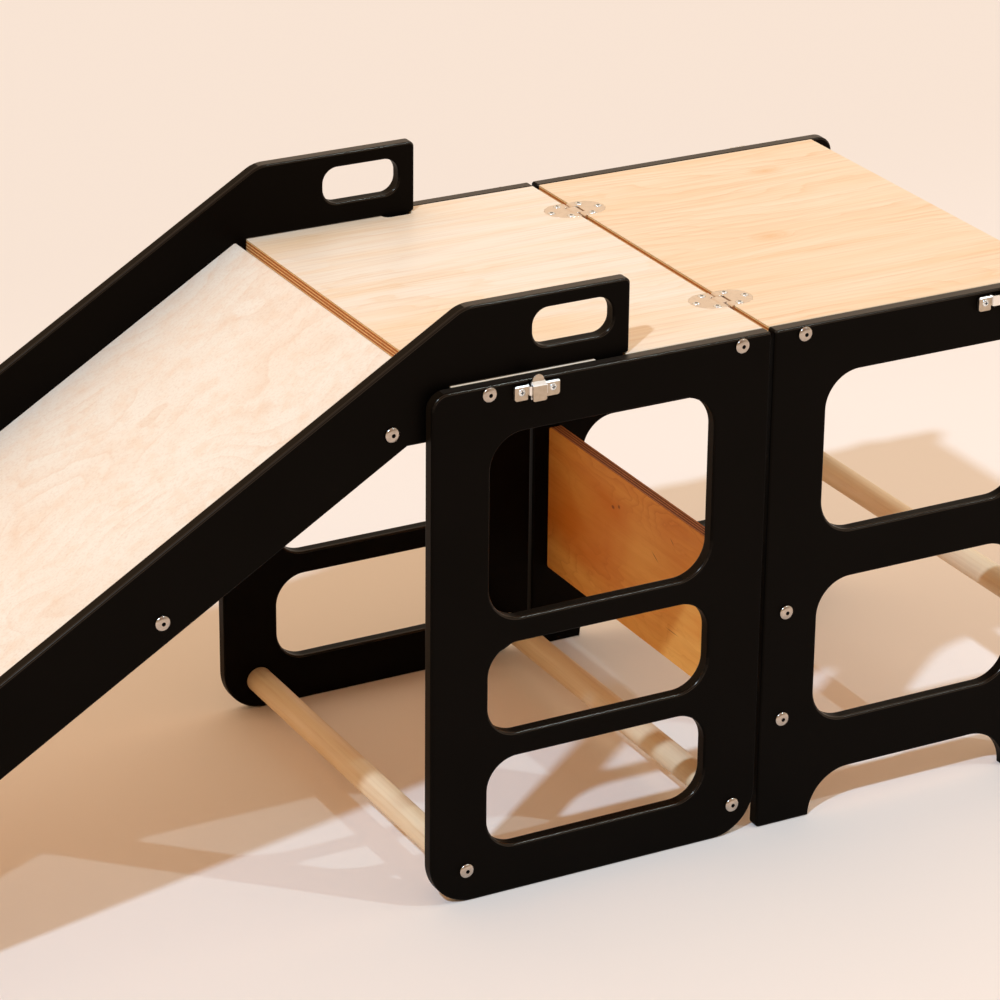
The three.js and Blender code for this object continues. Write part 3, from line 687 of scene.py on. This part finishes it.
# Cross bars: x and z of their axes
OUTER_DOWEL = (-281.1, 29.3)
INNER_DOWEL = (-24.1, 29.3)
FOLD_DOWEL = (SECTION - 25, 148)
DOWEL_RADIUS = 12
DOWEL_CHAMFER = 0.8


def dowel(name, centre, body):
    x, z = centre
    build = Build()
    narrow = DOWEL_RADIUS - DOWEL_CHAMFER
    straight = BOARD_Y - DOWEL_CHAMFER
    profile = [(0, -BOARD_Y), (narrow, -BOARD_Y), (DOWEL_RADIUS, -straight), (DOWEL_RADIUS, straight),
               (narrow, BOARD_Y), (0, BOARD_Y)]
    add_lathe(build, Place((HINGE_X + x, 0, z), Z, X, Y), profile, 64)
    build.piece(name + "_turned", body, [BEECH], [name])


dowel("base_dowel_outer", OUTER_DOWEL, "base")
dowel("base_dowel_inner", INNER_DOWEL, "base")
dowel("fold_dowel", FOLD_DOWEL, "fold")

# Button-head screws with a hexagon socket, their shanks in the panels
SHANK_RADIUS = 3
SHANK_LENGTH = 37
HEAD_RADIUS = 6.5
HEAD_CHAMFER = 0.2
HEAD_RIM = 0.8
HEAD_DOME = 2.3
HEAD_DEGREES = (8, 16, 25, 34, 44, 54, 66)
SOCKET = [(1.75, 2.9), (1.6, 2.6), (1.6, 0.9), (0, 0.7)]


def screw(node_name, x, z, side, face_y, body):
    build = Build()
    place = Place((HINGE_X + x, side * face_y, z), X, Z, Y * side)
    profile = [(0, -SHANK_LENGTH), (SHANK_RADIUS, -SHANK_LENGTH), (SHANK_RADIUS, GAP),
               (HEAD_RADIUS - HEAD_CHAMFER, GAP), (HEAD_RADIUS, GAP + HEAD_CHAMFER), (HEAD_RADIUS, HEAD_RIM)]
    profile += dome(HEAD_RADIUS, HEAD_DOME, HEAD_DEGREES, HEAD_RIM)
    profile += [(2.0, 3.02), SOCKET[0]]
    add_lathe(build, place, profile, 48)
    # The socket takes the dark socket colour, painted shade inside it
    add_lathe(build, place, SOCKET, 6, 1)
    build.piece(node_name + "_head", body, [STEEL, SOCKET_SHADE], [node_name])


def screw_row(prefix, places, face_y, body):
    count = 0
    for x, z in places:
        for _, side in SIDES:
            count += 1
            screw(f"{prefix}_{count}", x, z, side, face_y, body)


# x and z of the screws: into the boards' ends, the dowels, the guard board and, by pitch, the chute
BOARD_Z = TABLE - 7.3
GUARD_X = 23.4
CHUTE_SCREWS = 4
CHUTE_FIRST = 48
CHUTE_PITCH = 234
screw_row("base_screw", [(-263.5, BOARD_Z), (-29.6, BOARD_Z), OUTER_DOWEL, INNER_DOWEL], WIDTH / 2, "base")
screw_row("fold_screw", [(30.8, BOARD_Z), (262, BOARD_Z), (GUARD_X, 201.4), (GUARD_X, 100.6), FOLD_DOWEL],
          WIDTH / 2, "fold")
chute_places = []
for i in range(CHUTE_SCREWS):
    reach = CHUTE_END + (CHUTE_FIRST + CHUTE_PITCH * i) * math.cos(SLOPE)
    chute_places.append((-reach, chute_top(reach) - 4.8 * upright))
screw_row("slide_screw", chute_places, RAIL_OUTER_Y, "slide")

# Small cross-head screws of the hinges and latches: flat middle and cross as shares of the head
CORE = 0.56
CORE_TOP = 0.86
CROSS_ARM = 0.92
CROSS_WIDE = 0.26
CROSS_PLATE = 0.6
CROSS_DEPTH = 0.62
HEAD_SUNK = 0.25
# The cross recess takes the dark cross colour, painted shade inside it
HEAD_SLOT, CROSS_SLOT = 1, 2


def cross_head(build, place, radius, height):
    """Raised head with a cross recess, its rim on w = 0."""
    core, top = radius * CORE, height * CORE_TOP
    profile = [(radius, -HEAD_SUNK), *dome(radius, height, (0, 14, 28, 42)), (core, top)]
    add_lathe(build, place, profile, 32, HEAD_SLOT)
    arm, wide = core * CROSS_ARM, core * CROSS_WIDE
    cross = [(arm, -wide), (arm, wide), (wide, wide), (wide, arm), (-wide, arm), (-wide, wide), (-arm, wide),
             (-arm, -wide), (-wide, -wide), (-wide, -arm), (wide, -arm), (wide, -wide)]
    raised = place.moved(0, 0, top - CROSS_PLATE / 2)
    add_plate(build, raised, [circle(core), [Vector(p) for p in cross]], CROSS_PLATE,
              cap_slot=HEAD_SLOT, rim_slot=CROSS_SLOT)
    add_lathe(build, place, [(core, top - CROSS_DEPTH), (0, top - CROSS_DEPTH)], 24, CROSS_SLOT)


# Hinges: smooth leaves let into the boards, each held by three screws, and the link between them
LEAF = 3
LEAF_ROUNDING = 0.25
LEAF_HALF = 17.2
LOBE_RADIUS = 17.1
LEAF_START, LEAF_END = 2.7, 28.4
LIP_RADIUS = 2
LIP_EDGE = 0.7
NOTCH_END, NOTCH_HALF = 6.5, 7.3
KNUCKLE_HALF = 11.3
LEAF_SCREWS = ((10.8, -12.8), (10.8, 12.8), (23.5, 0))
LEAF_HOLE = 3.35
LEAF_HEAD = 3.2
LINK_Z = TABLE - 2.9
LINK_HALF = 2.7
LINK_REACH = 6
LINK_WIDTH = 14


def leaf(label, side, way, half, body):
    build = Build()
    middle = Place((HINGE_X, side * HINGE_Y, TABLE - LEAF / 2), X * way, Y, Z)
    flat = [
        (LEAF_START, -LEAF_HALF),
        (LEAF_END, -LEAF_HALF, LOBE_RADIUS),
        (LEAF_END, LEAF_HALF, LOBE_RADIUS),
        (LEAF_START, LEAF_HALF),
        (LEAF_START, NOTCH_HALF),
        (NOTCH_END, NOTCH_HALF),
        (NOTCH_END, -NOTCH_HALF),
        (LEAF_START, -NOTCH_HALF),
    ]
    holes = [circle(LEAF_HOLE, x, y) for x, y in LEAF_SCREWS]
    add_plate(build, middle, [outline(flat, 24)] + holes, LEAF, LEAF_ROUNDING)
    lip = [(LEAF_START, -LEAF / 2), (LEAF_START, LEAF / 2)]
    lip += [
        (LEAF_START - LIP_RADIUS * math.sin(a), LEAF / 2 - LIP_RADIUS + LIP_RADIUS * math.cos(a))
        for a in map(math.radians, range(15, 91, 15))
    ]
    lip += [(LIP_EDGE, -LEAF / 2)]
    knuckle = [(LIP_EDGE, -5.5), (9, -5.5), (9, -1.45), (LIP_EDGE, -1.45)]
    for shape, reach in ((lip, LEAF_HALF), (knuckle, KNUCKLE_HALF)):
        for low, high in ((-reach, -NOTCH_HALF), (NOTCH_HALF, reach)):
            across = Place(middle.point(0, (low + high) / 2, 0), middle.u, Z, Y)
            add_plate(build, across, [[Vector(p) for p in shape]], high - low)
    for x, y in LEAF_SCREWS:
        cross_head(build, Place(middle.point(x, y, 1.25), X, Y, Z), LEAF_HEAD, 1.15)
    node_name = f"hinge_{label}_{half}_leaf"
    build.piece(node_name + "_plate", body, [NICKEL, ZINC, CROSS_SHADE], [node_name])


def link(label, side):
    build = Build()
    bar = rectangle(-LINK_REACH, LINK_Z - LINK_HALF, LINK_REACH, LINK_Z + LINK_HALF, 2.65)
    add_plate(build, standing(side * HINGE_Y), [outline(bar, 12)], LINK_WIDTH, LEAF_ROUNDING)
    node_name = f"hinge_{label}_link"
    build.piece(node_name + "_bar", "hinge_links", [NICKEL], [node_name])


for label, side in SIDES:
    leaf(label, side, -1, "base", "base")
    leaf(label, side, 1, "fold", "fold")
    link(label, side)

# Latches: bracket and keeper of two ears and a strap, and the bolt bent over the strap
LATCH_X = 221.8
LATCH_TOP = 456.5
LATCH_BOTTOM = 443.3
EAR_END, EAR_STEP, EAR_START = 20.5, 8.4, 7.4
EAR_DEPTH = 3.2
EAR_FRONT = GAP + EAR_DEPTH
BROW_Z = LATCH_TOP - 1.7
BROW_SLANT = math.radians(45)
STRAP_BOTTOM = 447.5
STRAP_OUT, STRAP_IN = 8.4, 6.9
BOLT_SHEET = 1.6
KEEPER_RISE = {"near": 0, "far": 1.0}
# Slots of the near-white latch metal, the painted glint on brows, bends and strap sides
BRACKET_BEND_SLOT = 3
BOLT_BEND_SLOT = 1


def latch_front(x, rise, side):
    return Place((HINGE_X + x, side * WIDTH / 2, rise), X, Z, Y * side)


def bracket(node_name, x, rise, strap_top, side, body):
    """Ears with a brow leaning in over each, screws in them, and the strap between them."""
    build = Build()
    front = latch_front(x, rise, side)
    cos, sin = math.cos(BROW_SLANT), math.sin(BROW_SLANT)
    lean = Place(front.point(0, BROW_Z - 0.2, EAR_FRONT) - front.w * 0.6 * cos, front.u,
                 front.v * cos - front.w * sin, front.w * cos + front.v * sin)
    for way in (-1, 1):
        ear = [
            (way * EAR_END, BROW_Z),
            (way * EAR_END, LATCH_BOTTOM, 2.5),
            (way * EAR_STEP, LATCH_BOTTOM, 1.2),
            (way * EAR_STEP, LATCH_BOTTOM + 4.2),
            (way * EAR_START, LATCH_BOTTOM + 4.2),
            (way * EAR_START, BROW_Z),
        ]
        add_plate(build, front.moved(0, 0, EAR_FRONT - EAR_DEPTH / 2), [outline(ear, 12)], EAR_DEPTH, 0.4, 4)
        brow = [(way * 20.3, -0.3), (way * 20.3, 1.7, 1.5), (way * EAR_START, 1.7), (way * EAR_START, -0.3)]
        add_plate(build, lean, [outline(brow, 10)], 1.2, 0.3, cap_slot=BRACKET_BEND_SLOT,
                  rim_slot=BRACKET_BEND_SLOT)
        cross_head(build, front.moved(way * 14.2, 450.6, EAR_FRONT), 3.1, 1.2)
    strap = [(-STRAP_OUT, GAP), (-STRAP_OUT, 6.4, 1.8), (STRAP_OUT, 6.4, 1.8), (STRAP_OUT, GAP),
             (STRAP_IN, GAP), (STRAP_IN, 4.9, 0.5), (-STRAP_IN, 4.9, 0.5), (-STRAP_IN, GAP)]
    middle = Place(front.point(0, (strap_top + STRAP_BOTTOM) / 2, 0), front.u, front.w, front.v)
    add_plate(build, middle, [outline(strap, 10)], strap_top - STRAP_BOTTOM, 0.3,
              rim_slot=BRACKET_BEND_SLOT)
    materials = [LATCH_PLATE, ZINC, CROSS_SHADE, LATCH_GLINT]
    build.piece(node_name + "_formed", body, materials, [node_name])


def bolt(node_name, side, body):
    """Bend over the strap, thumb plate in front of it and round tongue behind it."""
    build = Build()
    front = latch_front(-LATCH_X, 0, side)
    bend = [(3, LATCH_BOTTOM), (4.6, LATCH_BOTTOM), (4.6, 457.2), (8.28, 454.3), (8.28, 455.9, 0.8),
            (4.6, 458.4, 0.8), (3, 458.4)]
    across = Place(front.origin, front.w, front.v, front.u)
    add_plate(build, across, [outline(bend, 12)], 12.4, 0.3, cap_slot=BOLT_BEND_SLOT,
              rim_slot=BOLT_BEND_SLOT)
    thumb = [(-6.25, 442.5, 1.8), (6.25, 442.5, 1.8), (6.25, 455.7), (-6.25, 455.7)]
    add_plate(build, front.moved(0, 0, 7.5), [outline(thumb, 12)], BOLT_SHEET, 0.35, 4)
    tongue = [(-5.2, 450), (5.2, 450), (5.2, 464.2, 5.19), (-5.2, 464.2, 5.19)]
    add_plate(build, front.moved(0, 0, 3.8), [outline(tongue, 24)], BOLT_SHEET, 0.3, 4)
    build.piece(node_name + "_bent", body, [LATCH_PLATE, LATCH_GLINT], [node_name])


for label, side in SIDES:
    bracket(f"latch_{label}_bracket", -LATCH_X, 0, LATCH_TOP - 1.2, side, "base")
    bracket(f"latch_{label}_keeper", LATCH_X, KEEPER_RISE[label], LATCH_TOP, side, "fold")
    bolt(f"latch_{label}_bolt", side, "bolt_" + label)

# Finishes of the CAD nodes that stay
FINISHES = {
    "base_top_board": BASE_BOARD,
    "fold_top_board": FOLD_BOARD,
    "slide_board": SLIDE_BOARD,
    "fold_guard_board": GUARD_IN_SHADE,
}
for name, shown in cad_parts.items():
    material = STEEL if name.endswith("pin") else FINISHES.get(name)
    if material:
        for slot in shown.material_slots:
            slot.material = material

# Floor and the backdrop seen beyond its edge
FLOOR_REACH = 12
FLOOR_NEAR = srgb(247, 231, 215), srgb(250, 234, 218)
# Farther floor tone: painted falloff of the lamps' light
FLOOR_FAR = srgb(236, 220, 203)
BACKDROP = srgb(247, 228, 212)

# Radiance of the room by direction: everywhere, then towards +Z, +Y, -Y, -X and +X
AMBIENT = (0.60, 0.35, 0.08)
TOWARDS = (
    ((0, 0, 1), (0.21, 0.23, 0.33)),
    ((0, 1, 0), (0.32, 0.30, 0.30)),
    ((0, -1, 0), (-0.30, -0.20, -0.05)),
    ((-1, 0, 0), (0.12, 0.15, 0.13)),
    ((1, 0, 0), (0.22, 0.31, 0.36)),
)

# Camera solved from the photograph's edges: degrees, pixels, and millimetres in the part's frame
AZIMUTH, ELEVATION, LEAN = -28.4287, 23.5999, 0.5511
FOCAL_PIXELS = 4098.55
FRAME_PIXELS = 1000
SENSOR = 36
EYE = Vector((-1312.20, -2856.59, 1674.95))


def stage():
    material, tree = new_material("floor_cream")
    place = coordinates(tree)["Object"]
    near = ramp(tree, noise(tree, place, 1.2, 2), (0.3, FLOOR_NEAR[0]), (0.7, FLOOR_NEAR[1]))
    # Floor painted darker away from the object, a painted falloff of the lamps' light
    far = grey_ramp(tree, dot(tree, place, (0, 0.7, 0)), (0.1, 0), (1.0, 1), ease="EASE")
    colour = mix(tree, far, near, FLOOR_FAR)
    surface(tree, {"Base Color": colour, "Roughness": 0.9, "Specular IOR Level": 0.1})
    mesh = bpy.data.meshes.new("floor")
    corners = [(x * FLOOR_REACH, y * FLOOR_REACH, 0) for x, y in ((-1, -1), (1, -1), (1, 1), (-1, 1))]
    mesh.from_pydata(corners, [], [(0, 1, 2, 3)])
    mesh.materials.append(material)
    made = bpy.data.objects.new("floor", mesh)
    bpy.context.scene.collection.objects.link(made)


def sun(name, direction, strength, angle, colour):
    data = bpy.data.lights.new(name, "SUN")
    data.energy = strength
    data.angle = math.radians(angle)
    data.color = colour
    made = bpy.data.objects.new(name, data)
    made.rotation_euler = Vector(direction).to_track_quat("Z", "Y").to_euler()
    bpy.context.scene.collection.objects.link(made)


def light():
    """Warm room, with one hard lamp from the right front and a stronger one from the left front."""
    world = bpy.data.worlds.new("studio")
    bpy.context.scene.world = world
    world.use_nodes = True
    tree = world.node_tree
    tree.nodes.clear()
    direction = coordinates(tree)["Generated"]
    colour = AMBIENT
    for way, extra in TOWARDS:
        facing = math_node(tree, "MAXIMUM", dot(tree, direction, way), 0.0)
        inputs = {0: extra, 1: facing, 2: colour}
        colour = node(tree, "VectorMath", inputs, operation="MULTIPLY_ADD").outputs[0]
    ray = node(tree, "LightPath", {}).outputs
    seen = math_node(tree, "ADD", ray["Is Camera Ray"], ray["Is Glossy Ray"])
    seen = math_node(tree, "ADD", seen, ray["Is Transmission Ray"], clamp=True)
    low = grey_ramp(tree, dot(tree, direction, (0, 0, 1)), (0.12, 1), (0.20, 0), ease="EASE")
    colour = mix(tree, math_node(tree, "MULTIPLY", seen, low), colour, BACKDROP)
    background = node(tree, "Background", {"Color": colour, "Strength": 1.0})
    node(tree, "OutputWorld", {"Surface": background.outputs[0]})
    sun("lamp_right", (0.4445, -0.426, 0.788), 0.56, 0.8, (0.554, 0.82, 1.0))
    sun("lamp_left", (-0.5344, -0.4176, 0.7349), 2.16, 2, (0.463, 0.697, 1.0))


def camera():
    azimuth, elevation, lean = map(math.radians, (AZIMUTH, ELEVATION, LEAN))
    back = Vector((math.sin(azimuth) * math.cos(elevation), -math.cos(azimuth) * math.cos(elevation),
                   math.sin(elevation)))
    level = Vector((math.cos(azimuth), math.sin(azimuth), 0))
    rise = back.cross(level)
    roll = math.asin(math.sin(lean) / rise.z)
    right = level * math.cos(roll) + rise * math.sin(roll)
    up = back.cross(right)
    data = bpy.data.cameras.new("camera")
    data.sensor_width = SENSOR
    data.lens = FOCAL_PIXELS / FRAME_PIXELS * SENSOR
    data.clip_start = 0.1
    data.clip_end = 50
    made = bpy.data.objects.new("camera", data)
    made.matrix_world = Matrix.Translation(EYE * MM) @ Matrix((right, up, back)).transposed().to_4x4()
    bpy.context.scene.collection.objects.link(made)
    bpy.context.scene.camera = made


stage()
light()
camera()
bpy.context.scene.view_settings.view_transform = "Standard"
